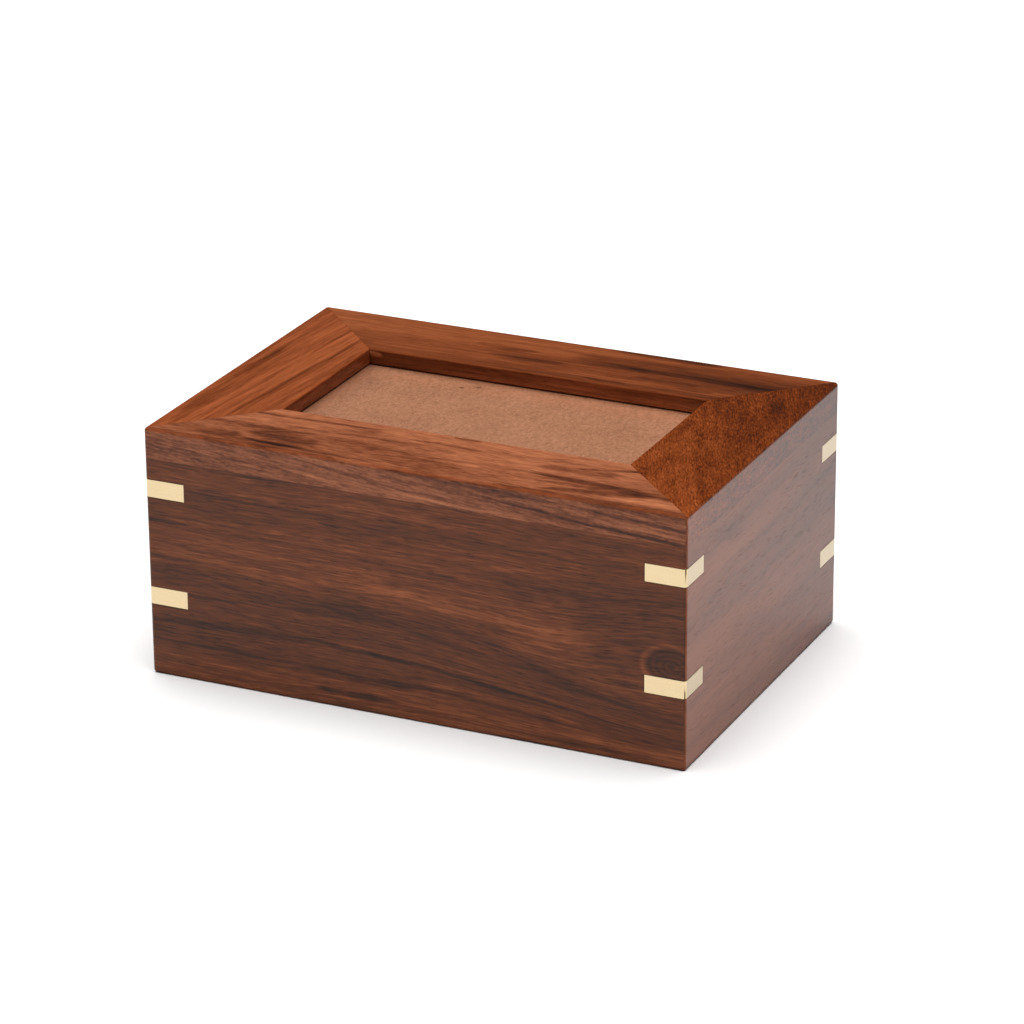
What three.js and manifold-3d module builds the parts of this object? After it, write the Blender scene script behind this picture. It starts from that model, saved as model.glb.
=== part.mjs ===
// A photo frame urn: a rosewood box with mitred corners and brass corner inlays, covered by a
// mitred picture frame that holds a clear pane over a hardboard back.
// Units are millimetres with +Z up. The origin is the centre of the underside, the front faces -Y
// and the long side runs along X.
import * as THREE from "three";
import { RoundedBoxGeometry } from "three/addons/geometries/RoundedBoxGeometry.js";
import { mergeVertices } from "three/addons/utils/BufferGeometryUtils.js";
import Module from "manifold-3d";

const wasm = await Module();
wasm.setup();

// Overall size
const LENGTH = 196;
const DEPTH = 134;
const HEIGHT = 89;

// Every outer edge is eased to this radius, drawn in this many steps
const ARRIS_RADIUS = 1.2;
const ARRIS_STEPS = 4;

// Picture frame: its rails cover the box and carry a lip over the pane
const RAIL_WIDTH = 34.5;
const RAIL_THICKNESS = 10.8;
const LIP_THICKNESS = 5.2;
const REBATE_WIDTH = 6;
const SIGHT_EDGE_RADIUS = 0.6;
const PANE_THICKNESS = 2;
const PANE_CLEARANCE = 0.5;
const BOARD_THICKNESS = 3;

// Box: four walls around a base panel let in from below
const WALL_HEIGHT = HEIGHT - RAIL_THICKNESS;
const WALL_THICKNESS = 10;
const BASE_THICKNESS = 6;
const BASE_REBATE = 5;
const BASE_CLEARANCE = 0.3;

// Brass inlays: strips bent round each upright corner, at two levels
const INLAY_LEG = 14.5;
const INLAY_WIDTH = 6.4;
const INLAY_THICKNESS = 1.2;
const INLAY_GLUE_GAP = 0.1;
const INLAY_LEVELS = { upper: 67.5, lower: 28.7 };

// How far a cutting shape stands past what it cuts
const OVERSHOOT = 1;

const QUARTER_TURN = Math.PI / 2;

// The four sides in turn about Z from the front: how long each side runs, and how far out it stands
const SIDES = [
  { name: "front", run: LENGTH, offset: DEPTH / 2 },
  { name: "right", run: DEPTH, offset: LENGTH / 2 },
  { name: "back", run: LENGTH, offset: DEPTH / 2 },
  { name: "left", run: DEPTH, offset: LENGTH / 2 },
];

// The four upright corners, each at the right-hand end of the side with the same place in SIDES
const CORNERS = [
  { name: "front_right", x: LENGTH / 2, y: -DEPTH / 2 },
  { name: "back_right", x: LENGTH / 2, y: DEPTH / 2 },
  { name: "back_left", x: -LENGTH / 2, y: DEPTH / 2 },
  { name: "front_left", x: -LENGTH / 2, y: -DEPTH / 2 },
];

const wallWood = new THREE.MeshStandardMaterial({ color: 0x653f31, roughness: 0.4, metalness: 0 });
const railWood = new THREE.MeshStandardMaterial({ color: 0x8a4a2a, roughness: 0.4, metalness: 0 });
const baseWood = new THREE.MeshStandardMaterial({ color: 0x5b3a2c, roughness: 0.6, metalness: 0 });
const hardboard = new THREE.MeshStandardMaterial({ color: 0xb17a5c, roughness: 0.8, metalness: 0 });
const brass = new THREE.MeshStandardMaterial({ color: 0xe8cd92, roughness: 0.25, metalness: 1 });
const clearPane = new THREE.MeshStandardMaterial({
  color: 0xf4f8f8,
  roughness: 0.05,
  metalness: 0,
  transparent: true,
  opacity: 0.2,
});

// A closed geometry as a solid that can be cut and joined.
function solidFrom(geometry) {
  const bare = geometry.clone();
  bare.deleteAttribute("normal");
  bare.deleteAttribute("uv");
  const merged = mergeVertices(bare);
  return new wasm.Manifold(
    new wasm.Mesh({
      numProp: 3,
      vertProperties: merged.getAttribute("position").array,
      triVerts: new Uint32Array(merged.index.array),
    }),
  );
}

// A solid back as a geometry with flat faces.
function geometryFrom(solid) {
  const mesh = solid.getMesh();
  const geometry = new THREE.BufferGeometry();
  geometry.setAttribute("position", new THREE.BufferAttribute(mesh.vertProperties, mesh.numProp));
  geometry.setIndex(new THREE.BufferAttribute(mesh.triVerts, 1));
  geometry.computeVertexNormals();
  return geometry;
}

function namedMesh(name, geometry, material) {
  const mesh = new THREE.Mesh(geometry, material);
  mesh.name = name;
  return mesh;
}

// The urn's outer form with its eased edges, for a side that runs along X and faces -Y.
// bottom is the underside's height in the frame of the piece that is cut to it.
function outerForm(side, bottom) {
  const form = new RoundedBoxGeometry(side.run, 2 * side.offset, HEIGHT, ARRIS_STEPS, ARRIS_RADIUS);
  return solidFrom(form.translate(0, 0, bottom + HEIGHT / 2));
}

// A prism with 45 degree ends in plan, which mitres a board of the given width on that side.
function mitrePrism(side, width, height) {
  const outerHalf = side.run / 2 + OVERSHOOT;
  const innerHalf = side.run / 2 - width - OVERSHOOT;
  const outline = new THREE.Shape()
    .moveTo(-outerHalf, -side.offset - OVERSHOOT)
    .lineTo(outerHalf, -side.offset - OVERSHOOT)
    .lineTo(innerHalf, -side.offset + width + OVERSHOOT)
    .lineTo(-innerHalf, -side.offset + width + OVERSHOOT);
  const prism = new THREE.ExtrudeGeometry(outline, {
    depth: height + 2 * OVERSHOOT,
    bevelEnabled: false,
  });
  return solidFrom(prism.translate(0, 0, -OVERSHOOT));
}

// A mitred board for one side. The profile is drawn from the outer face inwards and from the
// underside up, and runs the length of the side.
function mitredBoard(side, profile, width, height, bottom) {
  const run = new THREE.ExtrudeGeometry(profile, {
    depth: side.run,
    bevelEnabled: false,
    curveSegments: ARRIS_STEPS,
  });
  const inwards = new THREE.Vector3(0, 1, 0);
  const upwards = new THREE.Vector3(0, 0, 1);
  const along = new THREE.Vector3(1, 0, 0);
  run.applyMatrix4(new THREE.Matrix4().makeBasis(inwards, upwards, along));
  run.translate(-side.run / 2, -side.offset, 0);
  return solidFrom(run)
    .intersect(mitrePrism(side, width, height))
    .intersect(outerForm(side, bottom));
}

// The section of a wall: a plain board, rebated at the foot for the base panel.
function wallProfile() {
  return new THREE.Shape()
    .moveTo(0, 0)
    .lineTo(WALL_THICKNESS - BASE_REBATE, 0)
    .lineTo(WALL_THICKNESS - BASE_REBATE, BASE_THICKNESS)
    .lineTo(WALL_THICKNESS, BASE_THICKNESS)
    .lineTo(WALL_THICKNESS, WALL_HEIGHT)
    .lineTo(0, WALL_HEIGHT);
}

// The section of a frame rail: flat on top, with an eased sight edge and a rebate under its lip.
function railProfile() {
  const sightEdge = RAIL_THICKNESS - SIGHT_EDGE_RADIUS;
  return new THREE.Shape()
    .moveTo(0, 0)
    .lineTo(RAIL_WIDTH - REBATE_WIDTH, 0)
    .lineTo(RAIL_WIDTH - REBATE_WIDTH, RAIL_THICKNESS - LIP_THICKNESS)
    .lineTo(RAIL_WIDTH, RAIL_THICKNESS - LIP_THICKNESS)
    .lineTo(RAIL_WIDTH, sightEdge)
    .absarc(RAIL_WIDTH - SIGHT_EDGE_RADIUS, sightEdge, SIGHT_EDGE_RADIUS, 0, QUARTER_TURN, false)
    .lineTo(0, RAIL_THICKNESS);
}

// A brass strip bent round the front right corner, which is at the origin, centred on z = 0.
function inlayGeometry() {
  const outline = new THREE.Shape()
    .moveTo(-INLAY_LEG, 0)
    .lineTo(-ARRIS_RADIUS, 0)
    .absarc(-ARRIS_RADIUS, ARRIS_RADIUS, ARRIS_RADIUS, -QUARTER_TURN, 0, false)
    .lineTo(0, INLAY_LEG)
    .lineTo(-INLAY_THICKNESS, INLAY_LEG)
    .lineTo(-INLAY_THICKNESS, INLAY_THICKNESS)
    .lineTo(-INLAY_LEG, INLAY_THICKNESS);
  const strip = new THREE.ExtrudeGeometry(outline, {
    depth: INLAY_WIDTH,
    bevelEnabled: false,
    curveSegments: ARRIS_STEPS,
  });
  return strip.translate(0, 0, -INLAY_WIDTH / 2);
}

// The recess for one inlay, in the same frame: the strip with its glue gap, open to the outside.
function inlayRecess() {
  const reach = INLAY_LEG + INLAY_GLUE_GAP;
  const width = INLAY_WIDTH + 2 * INLAY_GLUE_GAP;
  const outline = new THREE.Shape()
    .moveTo(-reach, -OVERSHOOT)
    .lineTo(OVERSHOOT, -OVERSHOOT)
    .lineTo(OVERSHOOT, reach)
    .lineTo(-INLAY_THICKNESS, reach)
    .lineTo(-INLAY_THICKNESS, INLAY_THICKNESS)
    .lineTo(-reach, INLAY_THICKNESS);
  const recess = new THREE.ExtrudeGeometry(outline, { depth: width, bevelEnabled: false });
  return recess.translate(0, 0, -width / 2);
}

// One wall with the inlay recesses at both of its ends.
function makeWall(side) {
  let wall = mitredBoard(side, wallProfile(), WALL_THICKNESS, WALL_HEIGHT, 0);
  for (const level of Object.values(INLAY_LEVELS)) {
    const rightEnd = inlayRecess().translate(side.run / 2, -side.offset, level);
    const leftEnd = inlayRecess()
      .rotateZ(-QUARTER_TURN)
      .translate(-side.run / 2, -side.offset, level);
    wall = wall.subtract(solidFrom(rightEnd)).subtract(solidFrom(leftEnd));
  }
  return namedMesh(`wall_${side.name}`, geometryFrom(wall), wallWood);
}

// One rail of the picture frame, with its underside at z = 0.
function makeRail(side) {
  const rail = mitredBoard(side, railProfile(), RAIL_WIDTH, RAIL_THICKNESS, -WALL_HEIGHT);
  return namedMesh(`rail_${side.name}`, geometryFrom(rail), railWood);
}

function makeBase() {
  const inset = WALL_THICKNESS - BASE_REBATE + BASE_CLEARANCE;
  const panel = new THREE.BoxGeometry(LENGTH - 2 * inset, DEPTH - 2 * inset, BASE_THICKNESS);
  const base = namedMesh("base_panel", panel, baseWood);
  base.position.z = BASE_THICKNESS / 2;
  return base;
}

// A sheet that lies in the frame's rebate, with the given clearance all round.
function makeRebateSheet(name, thickness, clearance, top, material) {
  const inset = RAIL_WIDTH - REBATE_WIDTH + clearance;
  const sheet = new THREE.BoxGeometry(LENGTH - 2 * inset, DEPTH - 2 * inset, thickness);
  const mesh = namedMesh(name, sheet, material);
  mesh.position.z = top - thickness / 2;
  return mesh;
}

// The box: walls, base and inlays.
function makeBox() {
  const box = new THREE.Group();
  SIDES.forEach((side, turn) => {
    const wall = makeWall(side);
    wall.rotation.z = turn * QUARTER_TURN;
    box.add(wall);
  });
  box.add(makeBase());
  CORNERS.forEach((corner, turn) => {
    for (const [level, height] of Object.entries(INLAY_LEVELS)) {
      const inlay = namedMesh(`inlay_${corner.name}_${level}`, inlayGeometry(), brass);
      inlay.position.set(corner.x, corner.y, height);
      inlay.rotation.z = turn * QUARTER_TURN;
      box.add(inlay);
    }
  });
  return box;
}

// The picture frame that lies on the walls, with the pane under its lip and the board under that.
function makeFrame() {
  const frame = new THREE.Group();
  SIDES.forEach((side, turn) => {
    const rail = makeRail(side);
    rail.rotation.z = turn * QUARTER_TURN;
    frame.add(rail);
  });
  const lipUnderside = RAIL_THICKNESS - LIP_THICKNESS;
  frame.add(makeRebateSheet("clear_pane", PANE_THICKNESS, PANE_CLEARANCE, lipUnderside, clearPane));
  const boardTop = lipUnderside - PANE_THICKNESS;
  frame.add(makeRebateSheet("backing_board", BOARD_THICKNESS, 0, boardTop, hardboard));
  frame.position.z = WALL_HEIGHT;
  return frame;
}

const urn = new THREE.Group();
urn.add(makeBox(), makeFrame());

export default urn;
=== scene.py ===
"""Dresses a photo frame urn: a rosewood box with brass corner inlays under a mitred picture frame.

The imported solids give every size. Each piece is rebuilt here with eased edges and hairline joints, gets
its own procedural finish, and stands in a plain studio. Shapes are in metres in the part's own frame;
inside the finishes, where grain, pores and fibres are drawn, lengths are in millimetres.
"""

import logging
import math
from abc import ABC, abstractmethod
from collections.abc import Iterable, Sequence
from dataclasses import dataclass, field
from enum import Enum
from typing import ClassVar

import bmesh
import bpy
from mathutils import Matrix, Vector


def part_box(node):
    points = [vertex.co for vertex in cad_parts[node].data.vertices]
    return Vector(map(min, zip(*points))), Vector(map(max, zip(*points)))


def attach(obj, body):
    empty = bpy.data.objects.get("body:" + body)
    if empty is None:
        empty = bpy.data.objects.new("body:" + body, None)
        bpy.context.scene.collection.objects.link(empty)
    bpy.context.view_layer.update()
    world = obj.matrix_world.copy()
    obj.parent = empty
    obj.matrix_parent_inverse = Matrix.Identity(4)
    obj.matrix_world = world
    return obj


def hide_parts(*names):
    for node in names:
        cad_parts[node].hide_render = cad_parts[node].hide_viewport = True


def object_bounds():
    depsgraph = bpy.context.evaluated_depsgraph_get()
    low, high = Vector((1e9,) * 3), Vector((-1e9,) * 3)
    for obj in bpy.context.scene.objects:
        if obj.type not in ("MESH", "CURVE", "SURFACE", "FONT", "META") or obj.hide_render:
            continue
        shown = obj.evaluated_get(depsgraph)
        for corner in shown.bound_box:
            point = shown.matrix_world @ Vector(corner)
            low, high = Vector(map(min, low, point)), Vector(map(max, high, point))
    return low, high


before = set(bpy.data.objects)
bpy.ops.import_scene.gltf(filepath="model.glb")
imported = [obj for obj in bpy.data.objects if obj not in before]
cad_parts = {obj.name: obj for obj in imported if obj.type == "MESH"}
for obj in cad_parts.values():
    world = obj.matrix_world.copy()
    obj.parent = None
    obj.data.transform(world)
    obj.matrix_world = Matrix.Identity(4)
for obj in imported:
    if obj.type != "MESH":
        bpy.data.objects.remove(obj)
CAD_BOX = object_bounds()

LOG = logging.getLogger("photo_frame_urn")
BODY = "root"
MM = 0.001
WELD = 1e-7
QUARTER_TURN = math.pi / 2
WHITE = (1.0, 1.0, 1.0)

Colour = tuple[float, float, float]
Lengths = tuple[float, float, float]
Angles = tuple[float, float, float]
Place = tuple[float, float]
Step = tuple[float, float]


class Side(Enum):
    """A side of the box. Its value is how many quarter turns about Z it lies from the front."""

    FRONT = 0
    RIGHT = 1
    BACK = 2
    LEFT = 3

    @property
    def label(self) -> str:
        """The side's name as it stands in the names of pieces and solids."""
        return self.name.lower()

    @property
    def runs_along_x(self) -> bool:
        """Whether a board on this side runs along X."""
        return self in (Side.FRONT, Side.BACK)


class Board(Enum):
    """What a rosewood board is in the urn, which sets the face that shows its figure."""

    WALL = "wall"
    RAIL = "rail"
    BASE = "base"


class NarrowFace(Enum):
    """A rail's narrow long face: the urn's outside, or the lip round the picture."""

    OUTER = "outer"
    SIGHT = "sight"


class Slot(Enum):
    """The record's material slots."""

    WALLS = "rosewood_walls"
    BASE = "rosewood_base"
    RAILS = "rosewood_rails"
    PANE = "clear_glass"
    BACKING = "hardboard"
    INLAYS = "brass"


class Value:
    """A shader socket that Python operators extend with Math nodes."""

    def __init__(self, shade: "Shade", socket: bpy.types.NodeSocket) -> None:
        """Keeps the tree and the output socket that the value comes from."""
        self.shade = shade
        self.socket = socket

    def __add__(self, other: "Value | float") -> "Value":
        """Adds to the right."""
        return self.shade.math("ADD", self, other)

    def __radd__(self, other: float) -> "Value":
        """Adds to the left."""
        return self.shade.math("ADD", other, self)

    def __sub__(self, other: "Value | float") -> "Value":
        """Takes another value from this one."""
        return self.shade.math("SUBTRACT", self, other)

    def __rsub__(self, other: float) -> "Value":
        """Takes this value from a number."""
        return self.shade.math("SUBTRACT", other, self)

    def __mul__(self, other: "Value | float") -> "Value":
        """Multiplies on the right."""
        return self.shade.math("MULTIPLY", self, other)

    def __rmul__(self, other: float) -> "Value":
        """Multiplies on the left."""
        return self.shade.math("MULTIPLY", other, self)

    def __truediv__(self, other: "Value | float") -> "Value":
        """Divides by another value."""
        return self.shade.math("DIVIDE", self, other)

    def __pow__(self, other: "Value | float") -> "Value":
        """Raises to a power."""
        return self.shade.math("POWER", self, other)

    def __rpow__(self, other: float) -> "Value":
        """Raises a number to the power of this value."""
        return self.shade.math("POWER", other, self)

    def __abs__(self) -> "Value":
        """The size without its sign."""
        return self.shade.math("ABSOLUTE", self)

    def sine(self) -> "Value":
        """The sine of the value in radians."""
        return self.shade.math("SINE", self)

    def least(self, other: "Value | float") -> "Value":
        """The smaller of two values."""
        return self.shade.math("MINIMUM", self, other)

    def most(self, other: "Value | float") -> "Value":
        """The larger of two values."""
        return self.shade.math("MAXIMUM", self, other)

    def ease(self, start: float, end: float) -> "Value":
        """A soft step from 0 to 1.

        Args:
            start: The value at which the step starts, which may lie above its end.
            end: The value at which the step is complete.

        Returns:
            The step, between 0 and 1.
        """
        if start > end:
            return 1 - self.ease(end, start)
        return self.shade.node(
            "ShaderNodeMapRange",
            {"interpolation_type": "SMOOTHSTEP"},
            {"Value": self, "From Min": start, "From Max": end},
        )


Point = tuple[Value, Value, Value]


@dataclass(frozen=True)
class Patches:
    """Soft noise: its patches' size along each axis in millimetres, its shift and its finer layers."""

    lengths: Lengths
    shift: float
    layers: float = 2.0


class Tree:
    """A node tree that is built in code."""

    def __init__(self, tree: bpy.types.NodeTree) -> None:
        """Keeps the tree to add to."""
        self.tree = tree

    def add(
        self,
        kind: str,
        settings: dict[str, object] | None = None,
        sockets: dict[int | str, object] | None = None,
    ) -> bpy.types.bpy_prop_collection:
        """Adds one node.

        Args:
            kind: The node's type.
            settings: Its properties, set first. "stops" gives a ramp's places and colours.
            sockets: What each input, by name or place, is linked to or holds.

        Returns:
            The node's outputs.
        """
        node = self.tree.nodes.new(kind)
        for name, setting in (settings or {}).items():
            if name == "stops":
                self._set_stops(node.color_ramp, setting)
            else:
                setattr(node, name, setting)
        for name, value in (sockets or {}).items():
            self.feed(node.inputs[name], value)
        return node.outputs

    def feed(self, socket: bpy.types.NodeSocket, value: object) -> None:
        """Links an input, or sets it to a number, vector or colour.

        Args:
            socket: The input.
            value: A value or an output to link, or what the input holds.
        """
        if isinstance(value, Value):
            value = value.socket
        if isinstance(value, bpy.types.NodeSocket):
            self.tree.links.new(value, socket)
        elif socket.type == "RGBA":
            socket.default_value = (*value, 1.0)
        else:
            socket.default_value = value

    def _set_stops(self, ramp: bpy.types.ColorRamp, stops: Sequence[tuple[float, Colour]]) -> None:
        """Gives a ramp its stops, in order.

        Args:
            ramp: The ramp to set.
            stops: The place and colour of each stop.
        """
        while len(ramp.elements) < len(stops):
            ramp.elements.new(1.0)
        for element, (place, colour) in zip(ramp.elements, stops):
            element.position = place
            element.color = (*colour, 1.0)


class Shade(Tree):
    """The node tree of one material, built from Python expressions.

    Mean is the middle of what a noise node gives. Shift is the direction in which noise is moved, which
    lies along none of a board's axes. The sockets of a Mix node for colours are known by their places.
    """

    MEAN: ClassVar[float] = 0.5
    SHIFT: ClassVar[Lengths] = (1.0, 3.7, -2.3)
    MIX_FIRST: ClassVar[int] = 6
    MIX_SECOND: ClassVar[int] = 7
    MIX_RESULT: ClassVar[int] = 2

    def __init__(self, name: str) -> None:
        """Starts a material with a plain Principled surface.

        Args:
            name: The material's name.
        """
        self.material = bpy.data.materials.new(name)
        self.material.use_nodes = True
        super().__init__(self.material.node_tree)
        self.surface = self.tree.nodes["Principled BSDF"]

    def node(
        self,
        kind: str,
        settings: dict[str, object] | None = None,
        sockets: dict[int | str, object] | None = None,
        output: int | str = 0,
    ) -> Value:
        """Adds one node, as add does, and gives one of its outputs."""
        return Value(self, self.add(kind, settings, sockets)[output])

    def set(self, **sockets: object) -> None:
        """Sets or links inputs of the surface.

        Args:
            sockets: The inputs' names with underscores for spaces, and what each gets.
        """
        for name, value in sockets.items():
            self.feed(self.surface.inputs[name.replace("_", " ")], value)

    def math(self, operation: str, *operands: Value | float) -> Value:
        """Adds a Math node."""
        return self.node("ShaderNodeMath", {"operation": operation}, dict(enumerate(operands)))

    def point(self) -> Point:
        """Finds the point on the surface.

        Returns:
            The point's X, Y and Z in millimetres.
        """
        metres = self.node("ShaderNodeTexCoord", output="Object")
        scaled = self.node("ShaderNodeVectorMath", {"operation": "SCALE"}, {0: metres, "Scale": 1 / MM})
        x, y, z = self.add("ShaderNodeSeparateXYZ", None, {0: scaled})
        return Value(self, x), Value(self, y), Value(self, z)

    def total(self, values: Iterable[Value]) -> Value:
        """Adds values up, from nothing.

        Args:
            values: The values.

        Returns:
            Their total.
        """
        total = self.node("ShaderNodeValue")
        for value in values:
            total = total + value
        return total

    def vector(self, x: Value | float, y: Value | float, z: Value | float) -> Value:
        """Joins three numbers into a vector."""
        return self.node("ShaderNodeCombineXYZ", None, {0: x, 1: y, 2: z})

    def noise(self, vector: Value, patches: Patches, seed: float = 0.0) -> Value:
        """Soft noise, centred on 0.

        Args:
            vector: Where the noise is read, in millimetres.
            patches: The noise's patches.
            seed: A further shift, which makes one board different from another.

        Returns:
            The noise, mostly between -0.5 and 0.5.
        """
        shift = seed + patches.shift
        place = {
            "Vector": vector,
            "Location": tuple(part * shift for part in self.SHIFT),
            "Scale": tuple(1 / length for length in patches.lengths),
        }
        moved = self.node("ShaderNodeMapping", None, place)
        sockets = {"Vector": moved, "Scale": 1.0, "Detail": patches.layers}
        return self.node("ShaderNodeTexNoise", None, sockets) - self.MEAN

    def ramp(self, factor: Value, stops: Sequence[tuple[float, Colour]]) -> Value:
        """A colour that follows a value through stops."""
        return self.node("ShaderNodeValToRGB", {"stops": stops}, {"Fac": factor})

    def mix(self, factor: Value, first: Value | Colour, second: Value | Colour) -> Value:
        """A colour between two colours."""
        sockets = {0: factor, self.MIX_FIRST: first, self.MIX_SECOND: second}
        return self.node("ShaderNodeMix", {"data_type": "RGBA"}, sockets, self.MIX_RESULT)

    def bump(self, height: Value, depth: float) -> Value:
        """A normal that follows a height, where a height of 1 is a depth in millimetres."""
        return self.node("ShaderNodeBump", None, {"Height": height, "Distance": depth * MM})


class Finish(ABC):
    """A finish that makes its own material."""

    @abstractmethod
    def draw(self, shade: Shade) -> None:
        """Draws the finish on a new material's tree."""

    def material(self, name: str) -> bpy.types.Material:
        """Makes a material with this finish.

        Args:
            name: The material's name.

        Returns:
            The material.
        """
        shade = Shade(name)
        self.draw(shade)
        return shade.material


@dataclass(frozen=True)
class Streak:
    """A line in a board's figure, in millimetres along the board and across the face that shows it.

    A negative strength makes the line lighter than the wood around it, and bow is how far its middle
    swings out. Its swell goes from tip at its ends to 1 in the middle, and it has its full strength from a
    swell of full on, within the core's share of its half width.
    """

    TIP: ClassVar[float] = 0.01
    FULL: ClassVar[float] = 0.6
    CORE: ClassVar[float] = 0.1

    start: Place
    end: Place
    half_width: float
    strength: float
    bow: float = 0.0

    def mark(self, run: Value, level: Value) -> Value:
        """How strongly the streak shows at a place.

        Args:
            run: The place along the board.
            level: The place across the face.

        Returns:
            The streak's strength there, fading out at its ends and edges.
        """
        share = (run - self.start[0]) / (self.end[0] - self.start[0])
        swell = (share * (1 - share) * 4).most(self.TIP)
        line = self.start[1] + share * (self.end[1] - self.start[1]) + swell * self.bow
        off = abs(level - line) / swell ** 0.5
        body = off.ease(self.half_width, self.CORE * self.half_width)
        return body * swell.ease(self.TIP, self.FULL) * self.strength


@dataclass(frozen=True)
class Knot:
    """A small knot with rings round a dark eye, in millimetres on a wall's outer face.

    The rings, the heart, the eye and the pale rim each have a depth of tone, and cover is the share of the
    board's own grain that the knot takes away. The steps and the rim's place are shares of its reach.
    """

    HEART_EDGE: ClassVar[Step] = (1.0, 0.7)
    EYE_EDGE: ClassVar[Step] = (0.25, 0.05)
    RIM: ClassVar[float] = 0.97
    RIM_EDGE: ClassVar[Step] = (0.16, 0.02)
    COVER_EDGE: ClassVar[Step] = (1.05, 0.75)

    centre: Place
    reach: Place
    rings: float
    ring_depth: float = 0.06
    heart_depth: float = 0.16
    eye_depth: float = 0.1
    rim_depth: float = 0.23
    cover: float = 0.5

    def mark(self, run: Value, level: Value, wobble: Value) -> Value:
        """How dark the knot is at a place.

        Args:
            run: The place along the board.
            level: The place up the board.
            wobble: How far the rings stray from round there, in millimetres.

        Returns:
            The darkness, 0 outside the knot and below 0 in its pale rim.
        """
        distance = self._distance(run, level) + wobble / self.reach[0]
        heart = distance.ease(*self.HEART_EDGE)
        rings = (distance * (math.tau * self.rings)).sine() * heart * self.ring_depth
        eye = distance.ease(*self.EYE_EDGE)
        rim = abs(distance - self.RIM).ease(*self.RIM_EDGE)
        return rings + heart * self.heart_depth + eye * self.eye_depth - rim * self.rim_depth

    def clear(self, run: Value, level: Value) -> Value:
        """How much of the board's own grain is left at a place."""
        return 1 - self._distance(run, level).ease(*self.COVER_EDGE) * self.cover

    def _distance(self, run: Value, level: Value) -> Value:
        """How far a place lies from the knot's centre.

        Args:
            run: The place along the board.
            level: The place up the board.

        Returns:
            The distance as a share of the knot's reach.
        """
        across = (run - self.centre[0]) / self.reach[0]
        up = (level - self.centre[1]) / self.reach[1]
        return (across * across + up * up) ** 0.5


@dataclass(frozen=True)
class Sag:
    """Where a board's grain leaves the straight and drops, as it does on its way past a knot.

    Follow is the share of the drop that the middle of the sagging grain takes.
    """

    FOLLOW: ClassVar[float] = 0.9

    start: float
    end: float
    drop: float
    level: float
    spread: float

    def lift(self, run: Value, level: Value) -> Value:
        """How far the grain at a place has dropped.

        Args:
            run: The place along the board.
            level: The place across its show face.

        Returns:
            The drop, in millimetres.
        """
        dropped = run.ease(self.start, self.end) * self.drop
        off = (level - self.level + dropped * self.FOLLOW) / self.spread
        return dropped * math.e ** (off * off * -1.0)


@dataclass(frozen=True)
class Figure:
    """How strongly each part of a board's figure shows, and how its grain lies.

    Drift and curl are how far the grain strays over a long and a short way. Slope and edge_slope are how
    much it climbs, for each millimetre of run, across the show face and into the thickness.
    """

    bands: float = 0.8
    lines: float = 0.9
    fibres: float = 0.8
    wisps: float = 0.2
    pores: float = 0.15
    drift: float = 5.0
    slope: float = 0.0
    edge_slope: float = 0.0
    curl: float = 0.0
    band_width: float = 7.0
    line_length: float = 60.0
    fibre_length: float = 14.0

    def band_patches(self) -> Patches:
        """The broad bands of paler and darker wood."""
        return Patches((260.0, self.band_width, 1.3 * self.band_width), 1.3)

    def line_patches(self) -> Patches:
        """The lines between the bands and the fibres."""
        return Patches((self.line_length, 1.5, 1.8), 2.9)

    def fibre_patches(self) -> Patches:
        """The single fibres."""
        return Patches((self.fibre_length, 0.55, 0.6), 3.1)


@dataclass(frozen=True)
class EdgeFigure:
    """The figure on a rail's narrow face, where it differs from the rail's top.

    Tone makes the face paler above its foot, stripes lie along it and grit is a fine speckle. Streaks are
    in millimetres along the rail and up from the urn's underside. Spread is how far from the face its
    figure gives way to the top's, and below_top how far under the top it starts.
    """

    SPREAD: ClassVar[dict[NarrowFace, Step]] = {NarrowFace.OUTER: (4.0, 1.5), NarrowFace.SIGHT: (1.5, 0.5)}
    BELOW_TOP: ClassVar[Step] = (0.1, 1.0)
    ABOVE_FOOT: ClassVar[Step] = (-1.5, 3.0)
    FOOT_STRAY: ClassVar[float] = 8.0
    STRIPES: ClassVar[Patches] = Patches((14.0, 3.0, 0.8), 7.7)
    GRIT: ClassVar[Patches] = Patches((1.8, 0.9, 0.8), 8.3)

    face: NarrowFace = NarrowFace.OUTER
    tone: float = 0.0
    stripes: float = 0.0
    grit: float = 0.0
    streaks: tuple[Streak, ...] = ()


@dataclass(frozen=True)
class Palette:
    """The wood's colours from its darkest lines to its palest, and where its edges are rubbed.

    Reading is what a tone is multiplied by on the ramp, which ends at 1, so that a tone may pass 1.
    """

    READING: ClassVar[float] = 0.7
    TONES: ClassVar[tuple[float, ...]] = (0.0, 0.3, 0.6, 1.0, 1.0 / READING)

    black: Colour = (0.024, 0.009, 0.006)
    dark: Colour = (0.066, 0.017, 0.006)
    mid: Colour = (0.150, 0.036, 0.010)
    pale: Colour = (0.310, 0.088, 0.030)
    palest: Colour = (0.460, 0.160, 0.068)
    rubbed: Colour = (0.200, 0.041, 0.011)

    def colour(self, shade: Shade, tone: Value) -> Value:
        """The wood's colour where it has a tone.

        Args:
            shade: The material's tree.
            tone: The tone, from 0 for black.

        Returns:
            The colour.
        """
        colours = (self.black, self.dark, self.mid, self.pale, self.palest)
        stops = [(self.READING * place, colour) for place, colour in zip(self.TONES, colours)]
        return shade.ramp(tone * self.READING, stops)


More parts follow.
